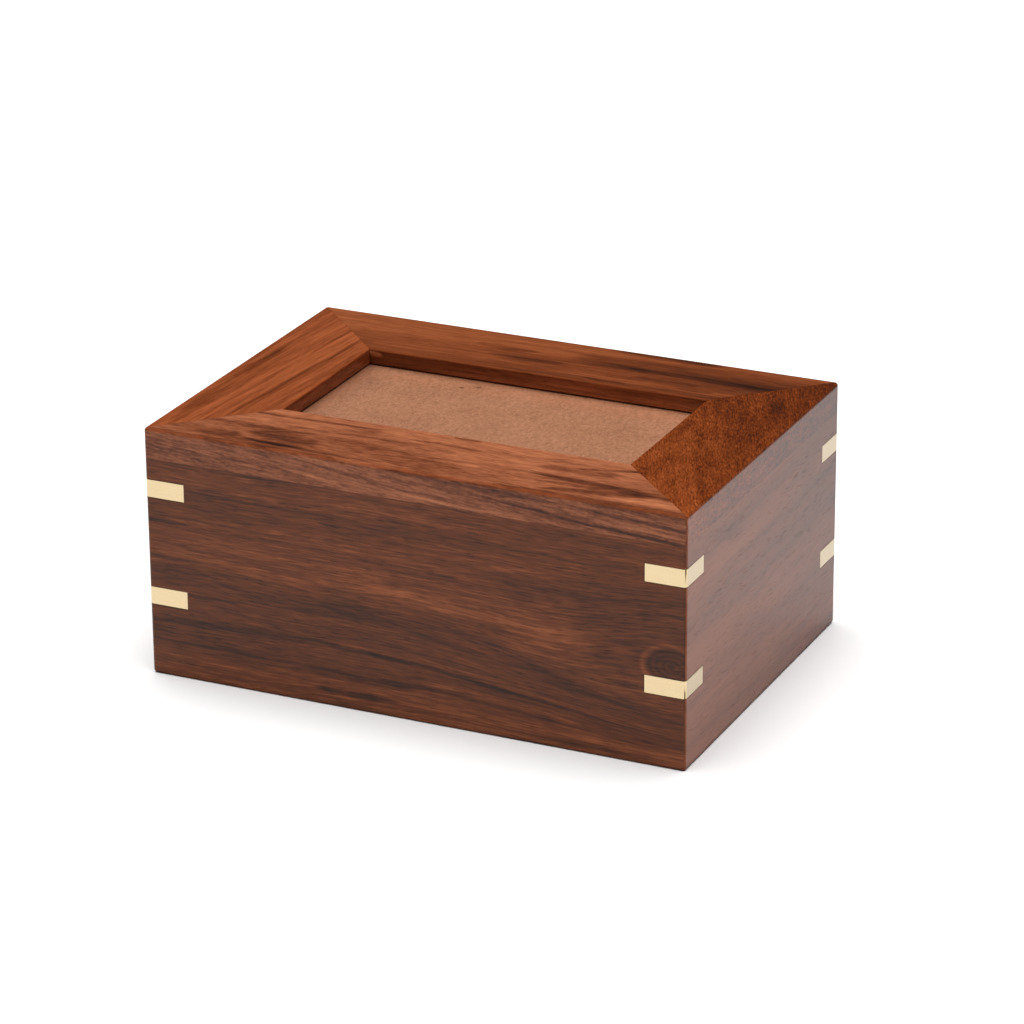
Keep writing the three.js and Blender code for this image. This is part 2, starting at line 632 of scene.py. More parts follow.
@dataclass(frozen=True)
class Lacquer:
    """The lacquer on the wood, and how it is worn, in millimetres from the nearest edge.

    Rubbed is where the wood is rubbed pale, chipping how far that strays, and worn where the lacquer is
    thin. A wall has wall_wear of a rail's wear. Relief is the depth of the fibres and pores.
    """

    rubbed: Step = (0.95, 0.15)
    chipping: float = 2.0
    fibre_rubbing: float = 1.2
    worn: Step = (1.7, 0.8)
    wall_wear: float = 0.6
    roughness: float = 0.4
    fibre_roughness: float = 0.12
    pore_roughness: float = 0.2
    worn_roughness: float = 0.3
    wood_ior: float = 1.2
    coat_roughness: float = 0.3
    coat_ior: float = 1.195
    fibre_height: float = 0.3
    pore_depth: float = 0.5
    relief: float = 0.03


@dataclass(frozen=True)
class GrainPlace:
    """A place on a board and in its grain.

    Run is along the board, level across its show face and sink into its thickness. Bowed is the level
    followed along the grain where it sags. Grain is the place in the grain as a vector, and fine the same
    for fibres and lines, which sag less.
    """

    run: Value
    level: Value
    sink: Value
    bowed: Value
    grain: Value
    fine: Value


@dataclass(frozen=True)
class Rosewood(Finish):
    """Lacquered rosewood on one board, with the grain running the board's length.

    Tone_along and tone_across are what the tone gains towards one end and one long edge. Rubbing is how
    pale the edges are rubbed, and upright_guard is added to the distance from the upright edges, which are
    rubbed less. Fibre_follow is the share of the sags that fibres and lines follow.
    """

    DRIFT: ClassVar[Patches] = Patches((95.0, 30.0, 30.0), 0.0, 1.0)
    CURL: ClassVar[Patches] = Patches((9.0, 6.0, 6.0), 0.7)
    PORES: ClassVar[Patches] = Patches((4.5, 0.3, 0.36), 4.7, 0.0)
    PORE_EDGE: ClassVar[Step] = (0.13, 0.22)
    WOBBLE: ClassVar[Patches] = Patches((24.0, 7.0, 7.0), 5.9, 3.0)
    WOBBLE_REACH: ClassVar[float] = 3.0
    SMALL_WOBBLE: ClassVar[float] = 0.5
    WISPS: ClassVar[Patches] = Patches((30.0, 8.0, 8.0), 6.1, 4.0)
    WISP_EDGE: ClassVar[Step] = (0.0, 0.3)
    WISP_RAG: ClassVar[float] = 2.2
    LINE_RAG: ClassVar[float] = 1.6
    CHIPS: ClassVar[Patches] = Patches((7.0, 7.0, 7.0), 9.1, 4.0)

    side: Side
    board: Board
    seed: float
    tone: float = 0.5
    tone_along: float = 0.0
    tone_across: float = 0.0
    figure: Figure = Figure()
    palette: Palette = Palette()
    lacquer: Lacquer = Lacquer()
    rubbing: float = 0.2
    upright_guard: float = 1.3
    fibre_follow: float = 0.55
    sags: tuple[Sag, ...] = ()
    knot: Knot | None = None
    streaks: tuple[Streak, ...] = ()
    edge: EdgeFigure | None = None

    def draw(self, shade: Shade) -> None:
        """Draws the board's figure, pores and worn lacquer.

        Args:
            shade: The material's tree.
        """
        lacquer = self.lacquer
        point = shade.point()
        place = self._place(shade, point)
        edge = self._edge_distance(point)
        fibres = self._clear(place, shade.noise(place.fine, self.figure.fibre_patches(), self.seed))
        pores = shade.noise(place.fine, self.PORES, self.seed).ease(*self.PORE_EDGE)
        tone = self._tone(shade, place) + fibres * self.figure.fibres - pores * self.figure.pores
        chipped = shade.noise(shade.vector(*point), self.CHIPS, self.seed) * lacquer.chipping
        rubbed = (edge + chipped).ease(*lacquer.rubbed) * (fibres * lacquer.fibre_rubbing + self.rubbing)
        worn = edge.ease(*lacquer.worn) * (1.0 if self.board is Board.RAIL else lacquer.wall_wear)
        roughness = lacquer.roughness + fibres * lacquer.fibre_roughness + pores * lacquer.pore_roughness
        shade.set(
            Base_Color=shade.mix(rubbed, self.palette.colour(shade, tone), self.palette.rubbed),
            Roughness=roughness + worn * lacquer.worn_roughness,
            IOR=lacquer.wood_ior,
            Coat_Weight=1 - worn,
            Coat_Roughness=lacquer.coat_roughness,
            Coat_IOR=lacquer.coat_ior,
            Normal=shade.bump(fibres * lacquer.fibre_height - pores * lacquer.pore_depth, lacquer.relief),
        )

    def _place(self, shade: Shade, point: Point) -> GrainPlace:
        """Finds a point's place on the board and in its grain.

        Args:
            shade: The material's tree.
            point: The point.

        Returns:
            The place.
        """
        x, y, z = point
        run, through = (x, y) if self.side.runs_along_x else (y, x)
        level, sink = (z, through) if self.board is Board.WALL else (through, z)
        bowed = level
        for sag in self.sags:
            bowed = bowed + sag.lift(run, level)
        sloped = sink + run * self.figure.edge_slope if self.figure.edge_slope else sink
        flat = shade.vector(run, level, sloped)
        grain = self._grain(shade, flat, run, bowed, sloped)
        fine = grain
        if self.sags:
            fine = self._grain(shade, flat, run, level + (bowed - level) * self.fibre_follow, sloped)
        return GrainPlace(run, level, sink, bowed, grain, fine)

    def _grain(self, shade: Shade, flat: Value, run: Value, bowed: Value, sink: Value) -> Value:
        """Bends a place on the board into its grain.

        Args:
            shade: The material's tree.
            flat: The place before it is bent, as a vector.
            run: The place along the board.
            bowed: The place across its show face, followed along the grain where it sags.
            sink: The place into its thickness.

        Returns:
            The place in the grain, as a vector.
        """
        figure = self.figure
        bent = bowed + shade.noise(flat, self.DRIFT, self.seed) * figure.drift + run * figure.slope
        if figure.curl:
            bent = bent + shade.noise(flat, self.CURL, self.seed) * figure.curl
        return shade.vector(run, bent, sink)

    def _clear(self, place: GrainPlace, grain: Value) -> Value:
        """Fades fibres or lines where a knot takes their place."""
        return grain * self.knot.clear(place.run, place.level) if self.knot else grain

    def _tone(self, shade: Shade, place: GrainPlace) -> Value:
        """How pale the wood is, before its fibres and pores.

        Args:
            shade: The material's tree.
            place: The place on the board.

        Returns:
            The tone, mostly between 0 and 1.
        """
        figure = self.figure
        bands = shade.noise(place.grain, figure.band_patches(), self.seed)
        lines = self._clear(place, shade.noise(place.fine, figure.line_patches(), self.seed))
        wisps = shade.noise(place.grain, self.WISPS, self.seed)
        tone = self.tone + bands * figure.bands + lines * figure.lines
        tone = tone - wisps.ease(*self.WISP_EDGE) * figure.wisps
        first, last = self._span()
        half_run = (CAD_BOX[1].x if self.side.runs_along_x else CAD_BOX[1].y) / MM
        share = (place.level - (first + last) / 2) * (2 / (last - first))
        tone = tone + place.run * (self.tone_along / half_run) + share * self.tone_across
        ragged = (wisps * self.WISP_RAG + lines * self.LINE_RAG + 1.0).most(0.0)
        wobble = shade.noise(place.grain, self.WOBBLE, self.seed) * self.WOBBLE_REACH
        strayed = place.bowed + wobble
        dark = shade.total(streak.mark(place.run, strayed) for streak in self.streaks) * ragged
        if self.knot:
            dark = dark + self.knot.mark(place.run, place.level, wobble * self.SMALL_WOBBLE)
        if not self.edge:
            return tone - dark
        on_face = self._on_narrow_face(place)
        strayed = place.sink + wobble * self.SMALL_WOBBLE
        edge_dark = shade.total(streak.mark(place.run, strayed) for streak in self.edge.streaks) * ragged
        edge_tone = self._narrow_tone(shade, place, wisps) - edge_dark
        return tone - dark * (1 - on_face) + edge_tone * on_face

    def _on_narrow_face(self, place: GrainPlace) -> Value:
        """How fully a place lies on the narrow face that has its own figure.

        Args:
            place: The place on the rail.

        Returns:
            From 0 off the face to 1 on it.
        """
        first, last = self._span()
        outer, sight = (last, first) if first + last > 0 else (first, last)
        face = outer if self.edge.face is NarrowFace.OUTER else sight
        below_top = self._box()[1].z / MM - place.sink
        near = abs(place.level - face).ease(*self.edge.SPREAD[self.edge.face])
        return near * below_top.ease(*self.edge.BELOW_TOP)

    def _narrow_tone(self, shade: Shade, place: GrainPlace, wisps: Value) -> Value:
        """What the narrow face's own figure adds to the tone, without its streaks.

        Args:
            shade: The material's tree.
            place: The place on the rail.
            wisps: The noise that makes the paler part's foot uneven.

        Returns:
            The gain in tone.
        """
        edge = self.edge
        flat = shade.vector(place.run, place.level, place.sink)
        above_foot = place.sink + wisps * edge.FOOT_STRAY - self._box()[0].z / MM
        paler = above_foot.ease(*edge.ABOVE_FOOT) * edge.tone
        stripes = shade.noise(place.grain, edge.STRIPES, self.seed) * edge.stripes
        return paler + stripes + shade.noise(flat, edge.GRIT, self.seed) * edge.grit

    def _edge_distance(self, point: Point) -> Value:
        """How far a point of the outside lies from the nearest outer edge or the frame's sight edge.

        Args:
            point: The point.

        Returns:
            The distance in millimetres, as the larger of those to the two faces that meet there.
        """
        x, y, z = point
        high = CAD_BOX[1] / MM
        from_ends = high.x - abs(x)
        from_fronts = high.y - abs(y)
        from_top = z.least(high.z - z)
        upright = from_ends.most(from_fronts) + self.upright_guard
        edge = upright.least(from_ends.most(from_top)).least(from_fronts.most(from_top))
        if self.board is not Board.RAIL:
            return edge
        first, last = self._span()
        inner = abs((from_fronts if self.side.runs_along_x else from_ends) - (last - first))
        return edge.least(inner.most(from_top))

    def _box(self) -> tuple[Vector, Vector]:
        """The lowest and highest corner of the solid that the board stands for."""
        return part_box("base_panel" if self.board is Board.BASE else f"{self.board.value}_{self.side.label}")

    def _span(self) -> Place:
        """Where the board starts and ends across its show face.

        Returns:
            The two places in millimetres.
        """
        low, high = (corner / MM for corner in self._box())
        if self.board is Board.WALL:
            return low.z, high.z
        return (low.y, high.y) if self.side.runs_along_x else (low.x, high.x)


@dataclass(frozen=True)
class Brass(Finish):
    """Polished brass strip with fine rubbing marks and a dark split along its bend."""

    CLOUDS: ClassVar[Patches] = Patches((6.0, 6.0, 3.0), 2.1)
    RUBBING: ClassVar[Patches] = Patches((7.0, 7.0, 0.22), 4.3, 1.0)
    SPLIT_EDGE: ClassVar[Step] = (0.15, 0.7)

    colour: Colour = (0.685, 0.525, 0.305)
    worn: Colour = (0.725, 0.578, 0.357)
    grazing: Colour = (0.66, 0.75, 0.95)
    split: Colour = (0.030, 0.016, 0.008)
    split_dirt: float = 0.8
    roughness: float = 0.3
    rubbing_roughness: float = 0.14
    cloud_roughness: float = 0.1
    split_roughness: float = 0.4
    relief: float = 0.012

    def draw(self, shade: Shade) -> None:
        """Draws the metal, its marks and its split.

        Args:
            shade: The material's tree.
        """
        point = shade.vector(*shade.point())
        clouds = shade.noise(point, self.CLOUDS)
        rubbing = shade.noise(point, self.RUBBING)
        split = shade.node("ShaderNodeAttribute", {"attribute_name": CornerInlays.SPLIT}, output="Fac")
        dark = split.ease(*self.SPLIT_EDGE)
        metal = shade.mix(clouds + shade.MEAN, self.colour, self.worn)
        roughness = self.roughness + rubbing * self.rubbing_roughness + clouds * self.cloud_roughness
        shade.set(
            Base_Color=shade.mix(dark, metal, self.split),
            Metallic=1 - dark * self.split_dirt,
            Specular_Tint=self.grazing,
            Roughness=roughness + dark * self.split_roughness,
            Normal=shade.bump(rubbing, self.relief),
        )


@dataclass(frozen=True)
class Hardboard(Finish):
    """Pressed wood fibre, matte, with fine specks, two larger flecks and a painted shadow under the lip.

    Sight is half the length and depth that show inside the lip. Shade is painted on the board along the back
    and the left of that, where the lips' shadow falls, up to a set strength. Sight, flecks and the widths of
    the shaded margins are in millimetres.
    """

    CLOUDS: ClassVar[Patches] = Patches((16.0, 16.0, 16.0), 1.7, 3.0)
    FELT: ClassVar[Patches] = Patches((2.2, 4.0, 3.0), 5.3)
    FIBRE: ClassVar[Patches] = Patches((0.9, 1.5, 0.9), 3.9, 3.0)
    SPECKS: ClassVar[Patches] = Patches((1.5, 1.0, 1.0), 7.3, 1.0)
    SPECK_EDGE: ClassVar[Step] = (0.2, 0.3)
    FLECK_EDGE: ClassVar[Step] = (2.0, 0.6)
    RIM_EDGE: ClassVar[Step] = (-0.3, 0.5)

    sight: Place
    colour: Colour = (0.285, 0.120, 0.063)
    pale: Colour = (0.470, 0.210, 0.119)
    speck: Colour = (0.100, 0.038, 0.020)
    # rim: the near-black colour of the painted shadow under the lip, also used for the painted shade in the
    # margins
    rim: Colour = (0.020, 0.010, 0.007)
    flecks: tuple[Place, ...] = ((-24.3, 24.5), (-18.8, 26.9))
    fleck_squash: float = 1.4
    fleck_stray: float = 1.2
    fleck_strength: float = 0.8
    speck_strength: float = 0.6
    cloud_strength: float = 0.6
    felt_strength: float = 0.9
    fibre_strength: float = 1.7
    # painted shade: the widths of the shaded margins, the back one's skew, the left one's strength
    back_margin: float = 7.0
    back_skew: float = 0.05
    left_margin: float = 17.0
    left_strength: float = 1.5
    painted_shade_strength: float = 0.16
    roughness: float = 0.85
    fibre_roughness: float = 0.15
    ior: float = 1.12
    relief: float = 0.06

    def draw(self, shade: Shade) -> None:
        """Draws the fibres, the specks and the rim.

        Args:
            shade: The material's tree.
        """
        x, y, z = shade.point()
        point = shade.vector(x, y, z)
        felt = shade.noise(point, self.FELT)
        fibre = shade.noise(point, self.FIBRE)
        clouds = shade.noise(point, self.CLOUDS)
        specks = shade.noise(point, self.SPECKS).ease(*self.SPECK_EDGE) * self.speck_strength
        for across, up in self.flecks:
            away = abs(x - across) + abs(y - up) * self.fleck_squash + fibre * self.fleck_stray
            specks = specks.most(away.ease(*self.FLECK_EDGE) * self.fleck_strength)
        paler = clouds * self.cloud_strength + felt * self.felt_strength + fibre * self.fibre_strength
        colour = shade.mix((paler + shade.MEAN).most(0.0).least(1.0), self.colour, self.pale)
        colour = shade.mix(specks, colour, self.speck)
        # painted shade: the board darkens towards the rim colour along the back and the left, where the lips'
        # shadow falls
        colour = shade.mix(self._dim(x, y) * self.painted_shade_strength, colour, self.rim)
        # painted shadow: where the board runs under the lip it is made near black
        rim = (abs(x) - self.sight[0]).most(abs(y) - self.sight[1]).ease(*self.RIM_EDGE)
        shade.set(
            Base_Color=shade.mix(rim, colour, self.rim),
            Roughness=self.roughness + fibre * self.fibre_roughness,
            IOR=self.ior,
            Normal=shade.bump(fibre, self.relief),
        )

    def _dim(self, x: Value, y: Value) -> Value:
        """How far a place lies in the margins along the back and the left where shade is painted.

        Args:
            x: The place along X.
            y: The place along Y.

        Returns:
            From 0 outside the margins.
        """
        from_left = x + self.sight[0]
        at_back = (y - self.sight[1] - from_left * self.back_skew).ease(-self.back_margin, 0.0)
        return at_back.most(from_left.ease(self.left_margin, 0.0) * self.left_strength)


@dataclass(frozen=True)
class ClearGlass(Finish):
    """A thin clear pane."""

    colour: Colour = (0.97, 0.985, 0.98)
    ior: float = 1.42

    def draw(self, shade: Shade) -> None:
        """Makes the surface clear."""
        shade.set(Base_Color=self.colour, Roughness=0.0, IOR=self.ior, Transmission_Weight=1.0)


@dataclass(frozen=True)
class StudioPaper(Finish):
    """Pale matte paper under the urn."""

    CLOUDS: ClassVar[Patches] = Patches((400.0, 400.0, 400.0), 0.9)

    colour: Colour = (0.88, 0.88, 0.88)
    shaded: Colour = (0.84, 0.84, 0.84)
    roughness: float = 0.9

    def draw(self, shade: Shade) -> None:
        """Draws the paper's faint clouds."""
        clouds = shade.noise(shade.vector(*shade.point()), self.CLOUDS) + shade.MEAN
        shade.set(Base_Color=shade.mix(clouds, self.shaded, self.colour), Roughness=self.roughness)


@dataclass(frozen=True)
class UrnSizes:
    """The urn's sizes in metres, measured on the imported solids."""

    length: float
    depth: float
    height: float
    wall_height: float
    wall_thickness: float
    base_low: Vector
    base_high: Vector
    rail_width: float
    lip_underside: float
    pane_low: Vector
    pane_high: Vector
    board_low: Vector
    board_high: Vector
    arris: float = 1.2 * MM
    sight_edge: float = 0.6 * MM
    hairline: float = 0.1 * MM

    @classmethod
    def from_frame(cls) -> "UrnSizes":
        """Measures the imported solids.

        Returns:
            The sizes.
        """
        low, high = CAD_BOX
        wall_low, wall_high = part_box("wall_front")
        rail_low, rail_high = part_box("rail_front")
        pane_low, pane_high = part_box("clear_pane")
        board_low, board_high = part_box("backing_board")
        base_low, base_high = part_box("base_panel")
        return cls(
            length=high.x - low.x,
            depth=high.y - low.y,
            height=high.z - low.z,
            wall_height=wall_high.z,
            wall_thickness=wall_high.y - wall_low.y,
            base_low=base_low,
            base_high=base_high,
            rail_width=rail_high.y - rail_low.y,
            lip_underside=pane_high.z,
            pane_low=pane_low,
            pane_high=pane_high,
            board_low=board_low,
            board_high=board_high,
        )

    def run(self, side: Side) -> float:
        """The length of a side."""
        return self.length if side.runs_along_x else self.depth

    def offset(self, side: Side) -> float:
        """How far a side's outer face stands from the middle."""
        return (self.depth if side.runs_along_x else self.length) / 2


def hand_over(piece: bpy.types.Object, slot: Slot, *nodes: str) -> None:
    """Lets a finished piece ride on the part's one body and stand for its solids.

    Args:
        piece: The piece.
        slot: The record's slot that its finish belongs to; not used.
        nodes: The solids that it stands for.
    """
    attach(piece, BODY)
    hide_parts(*nodes)
    LOG.info("%s: %d faces for %s", piece.name, len(piece.data.polygons), ", ".join(nodes))


def dress(
    piece: bpy.types.Object, finish: Finish, material: str, slot: Slot, *nodes: str
) -> bpy.types.Object:
    """Gives a piece its finish and hands it over.

    Args:
        piece: The piece.
        finish: Its finish.
        material: The name of its material.
        slot: The record's slot that its finish belongs to.
        nodes: The solids that it stands for.

    Returns:
        The piece.
    """
    piece.data.materials.clear()
    piece.data.materials.append(finish.material(material))
    hand_over(piece, slot, *nodes)
    return piece


def new_object(name: str, shape: bmesh.types.BMesh) -> bpy.types.Object:
    """Links a new object that holds a shape.

    Args:
        name: The object's name.
        shape: The shape, which is used up.

    Returns:
        The object, at the origin.
    """
    bmesh.ops.remove_doubles(shape, verts=shape.verts, dist=WELD)
    bmesh.ops.recalc_face_normals(shape, faces=shape.faces)
    mesh = bpy.data.meshes.new(name)
    shape.to_mesh(mesh)
    shape.free()
    piece = bpy.data.objects.new(name, mesh)
    bpy.context.scene.collection.objects.link(piece)
    return piece


def settle(piece: bpy.types.Object) -> None:
    """Turns a piece and its modifiers into a plain mesh.

    Args:
        piece: The piece, whose modifiers are used up.
    """
    graph = bpy.context.evaluated_depsgraph_get()
    made = bpy.data.meshes.new_from_object(
        piece.evaluated_get(graph), preserve_all_data_layers=True, depsgraph=graph
    )
    made.name = piece.name
    piece.modifiers.clear()
    piece.data = made


def smooth(piece: bpy.types.Object, sharp_above: float = 30.0) -> None:
    """Shades a piece smooth between its sharp edges, with flat faces kept flat.

    Args:
        piece: The piece.
        sharp_above: Edges that turn by more degrees than this stay sharp.
    """
    piece.data.shade_smooth()
    piece.data.set_sharp_from_angle(angle=math.radians(sharp_above))
    weighted = piece.modifiers.new("flat faces", "WEIGHTED_NORMAL")
    weighted.keep_sharp = True
    settle(piece)


def sweep(shape: bmesh.types.BMesh, rings: Sequence[Sequence[bmesh.types.BMVert]]) -> None:
    """Joins rings of points into a closed skin with capped ends.

    Args:
        shape: The shape that holds the points.
        rings: The rings in order, all with the same number of points.
    """
    for ring, following in zip(rings, rings[1:]):
        for index in range(len(ring)):
            shape.faces.new((ring[index - 1], ring[index], following[index], following[index - 1]))
    shape.faces.new(rings[0])
    shape.faces.new(rings[-1])


def arris_steps(radius: float, steps: int = 4) -> list[float]:
    """Distances from a sharp edge at which its easing is drawn.

    Args:
        radius: The easing's radius.
        steps: How many parts half of the quarter round has.

    Returns:
        The distances, from the edge to the end of the easing, at even turns of the round.
    """
    return [radius * (1 - math.tan(math.pi / 4 * (steps - step) / steps)) for step in range(steps + 1)]


def inset_outline(outline: Sequence[Place], depth: float, sharpest: float = 0.5) -> list[Place]:
    """An outline drawn a little inside another one.

    Args:
        outline: The outline's corners, anticlockwise.
        depth: How far inside the new outline lies.
        sharpest: The least cosine of half a corner's turn that the depth is kept up for.

    Returns:
        The new corners.
    """
    corners = []
    for index, corner in enumerate(outline):
        here = Vector(corner)
        before = (here - Vector(outline[index - 1])).normalized()
        after = (Vector(outline[(index + 1) % len(outline)]) - here).normalized()
        inward = Vector((-before.y - after.y, before.x + after.x)).normalized()
        stretch = max(sharpest, inward.dot(Vector((-after.y, after.x))))
        corners.append(tuple(here + inward * (depth / stretch)))
    return corners


def eased_sheet(
    name: str, low: Vector, high: Vector, edge: float, segments: int = 3
) -> bpy.types.Object:
    """Makes a flat sheet with its edges taken off.

    Args:
        name: The sheet's name.
        low: Its lowest corner.
        high: Its highest corner.
        edge: How much its edges are eased.
        segments: How many parts the easing has.

    Returns:
        The sheet.
    """
    shape = bmesh.new()
    bmesh.ops.create_cube(shape, size=1.0)
    for vert in shape.verts:
        share = vert.co + Vector((0.5, 0.5, 0.5))
        vert.co = Vector([a + (b - a) * s for a, b, s in zip(low, high, share)])
    edges = shape.edges[:]
    bmesh.ops.bevel(shape, geom=edges, offset=edge, segments=segments, profile=0.5, affect="EDGES")
    sheet = new_object(name, shape)
    smooth(sheet)
    return sheet


@dataclass(frozen=True)
class MitredBoard:
    """A board along one side of the urn, mitred at both ends and eased along the urn's outer edges.

    The outline is the board's section, anticlockwise, from the outer face inwards and up from the
    urn's underside.
    """

    sizes: UrnSizes
    side: Side
    outline: tuple[Place, ...]

    def shape(self) -> bmesh.types.BMesh:
        """Sweeps the section along the side.

        Returns:
            The board's shape, in its place.
        """
        hairline = self.sizes.hairline
        cuts = [(0.0, inset_outline(self.outline, hairline)), (hairline, self.outline)]
        steps = [step for step in arris_steps(self.sizes.arris) if step > hairline]
        cuts += [(step, self.outline) for step in steps]
        stations = [(-1, *cut) for cut in cuts] + [(1, *cut) for cut in reversed(cuts)]
        shape = bmesh.new()
        sweep(shape, [[shape.verts.new(point) for point in self._ring(*station)] for station in stations])
        shape.transform(Matrix.Rotation(self.side.value * QUARTER_TURN, 4, "Z"))
        return shape

    def _ring(self, end: int, back: float, outline: Sequence[Place]) -> list[Vector]:
        """The section's corners at one place along the board.

        Args:
            end: The end that the place is measured from, -1 or 1.
            back: How far the place lies from that end's mitre.
            outline: The section there.

        Returns:
            The corners, eased.
        """
        half = self.sizes.run(self.side) / 2
        offset = self.sizes.offset(self.side)
        return [self._eased(Vector((end * (half - u - back), u - offset, v))) for u, v in outline]

    def _eased(self, point: Vector) -> Vector:
        """Moves a point of the sharp-edged urn to its place on the eased one.

        Args:
            point: The point.

        Returns:
            The point after easing, which moves only near the urn's outer edges.
        """
        sizes = self.sizes
        radius = sizes.arris
        half = Vector((sizes.run(self.side) / 2, sizes.offset(self.side), sizes.height / 2))
        middle = Vector((0.0, 0.0, sizes.height / 2))
        local = point - middle
        core = Vector([max(radius - h, min(h - radius, c)) for c, h in zip(local, half)])
        out = local - core
        if out.length < WELD:
            return point
        return middle + core + out * (max(abs(c) for c in out) / out.length)


@dataclass
class CornerInlays:
    """The brass strips let in round the four upright corners, at two levels.

    Each has a split along its bend, which is shut at one end. It starts to open at split_start of the
    strip's width and is open after split_rise more, with a depth that wavers.
    """

    SPLIT: ClassVar[str] = "bend_split"
    ROWS: ClassVar[int] = 12
    BEND_STEPS: ClassVar[int] = 8

    sizes: UrnSizes
    leg: float = field(init=False)
    width: float = field(init=False)
    thickness: float = 1.2 * MM
    glue_gap: float = 0.1 * MM
    chamfer: float = 0.12 * MM
    pocket_reach: float = 1.0 * MM
    split_depth: float = 0.5 * MM
    split_start: float = 0.22
    split_rise: float = 0.35
    split_waver: float = 0.25
    split_waves: float = 9.0
    upper: float = field(init=False)
    lower: float = field(init=False)

    def __post_init__(self) -> None:
        """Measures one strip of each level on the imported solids."""
        low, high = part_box("inlay_front_right_upper")
        self.leg = high.x - low.x
        self.width = high.z - low.z
        self.upper = (low.z + high.z) / 2
        low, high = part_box("inlay_front_right_lower")
        self.lower = (low.z + high.z) / 2

    @property
    def nodes(self) -> list[str]:
        """The solids that the strips stand for."""
        return [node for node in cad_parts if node.startswith("inlay_")]

    def build(self) -> bpy.types.Object:
        """Makes all the strips as one piece and dresses it.

        Returns:
            The piece.
        """
        piece = self._at_corners("brass_inlays", self._strip(), Brass().material("polished_brass"))
        hand_over(piece, Slot.INLAYS, *self.nodes)
        return piece

    def pockets(self) -> bpy.types.Object:
        """Makes the blocks that cut the strips' recesses into the walls.

        Returns:
            The blocks as one object, to be removed after use.
        """
        reach = self.leg + self.glue_gap
        out = self.pocket_reach
        thick = self.thickness
        outside = [(-reach, -out), (out, -out), (out, reach)]
        outline = [*outside, (-thick, reach), (-thick, thick), (-reach, thick)]
        half = self.width / 2 + self.glue_gap
        shape = bmesh.new()
        sweep(shape, [[shape.verts.new((x, y, z)) for x, y in outline] for z in (-half, half)])
        return self._at_corners("inlay_pockets", shape, None)

    def _strip(self) -> bmesh.types.BMesh:
        """Bends one strip round the front right corner, which is at the origin.

        Returns:
            The strip, centred on its level.
        """
        shape = bmesh.new()
        mark = shape.verts.layers.float.new(self.SPLIT)
        heights = [self.width * (row / self.ROWS - 0.5) for row in range(self.ROWS + 1)]
        section = [(self.chamfer if row in (0, self.ROWS) else 0.0, z) for row, z in enumerate(heights)]
        edge = self.width / 2 - self.chamfer
        section[1:1] = [(0.0, -edge)]
        section[-1:-1] = [(0.0, edge)]
        section += [(self.thickness, self.width / 2), (self.thickness, -self.width / 2)]
        rings = []
        for place, outward, at_bend in self._path():
            ring = []
            for depth, z in section:
                open_here = at_bend * self._split_at(z) if depth < self.thickness else 0.0
                inward = depth + open_here * self.split_depth
                vert = shape.verts.new((*(place - outward * inward), z))
                vert[mark] = open_here
                ring.append(vert)
            rings.append(ring)
        sweep(shape, rings)
        return shape

    def _split_at(self, height: float) -> float:
        """How far the split along the bend is open.

        Args:
            height: The height on the strip, from its middle.

        Returns:
            From 0 where it is shut to 1.
        """
        share = height / self.width + 0.5
        opened = max(0.0, min(1.0, (share - self.split_start) / self.split_rise))
        return opened * (1 - self.split_waver + self.split_waver * math.sin(self.split_waves * share))

    def _path(self) -> list[tuple[Vector, Vector, float]]:
        """The strip's outer line in plan, from one leg's end round the bend to the other's.

        Returns:
            For each place on it, the place, the outward direction and 1 where the split runs.
        """
        radius = self.sizes.arris
        leg = self.leg
        chamfer = self.chamfer
        front = Vector((0.0, -1.0))
        right = Vector((1.0, 0.0))
        path = [
            (Vector((-leg, 0.0)) - front * chamfer, front, 0.0),
            (Vector((chamfer - leg, 0.0)), front, 0.0),
        ]
        centre = Vector((-radius, radius))
        for step in range(self.BEND_STEPS + 1):
            angle = QUARTER_TURN * (step / self.BEND_STEPS - 1)
            outward = Vector((math.cos(angle), math.sin(angle)))
            at_bend = 1.0 if step == self.BEND_STEPS // 2 else 0.0
            path.append((centre + outward * radius, outward, at_bend))
        path.append((Vector((0.0, leg - chamfer)), right, 0.0))
        path.append((Vector((0.0, leg)) - right * chamfer, right, 0.0))
        return path

    def _at_corners(
        self, name: str, shape: bmesh.types.BMesh, material: bpy.types.Material | None
    ) -> bpy.types.Object:
        """Sets copies of a shape at the four corners and two levels.

        Args:
            name: The object's name.
            shape: The shape for the front right corner, at the origin.
            material: What the copies are made of, if it matters.

        Returns:
            The copies as one plain mesh.
        """
        piece = new_object(name, shape)
        modifier = piece.modifiers.new("corners", "NODES")
        tree = CornerTree(name + "_tree")
        modifier.node_group = tree.tree
        inputs = {
            "Length": self.sizes.length,
            "Depth": self.sizes.depth,
            "Upper": self.upper,
            "Lower": self.lower,
            "Material": material,
        }
        for socket, value in inputs.items():
            modifier[tree.identifiers[socket]] = value
        settle(piece)
        return piece


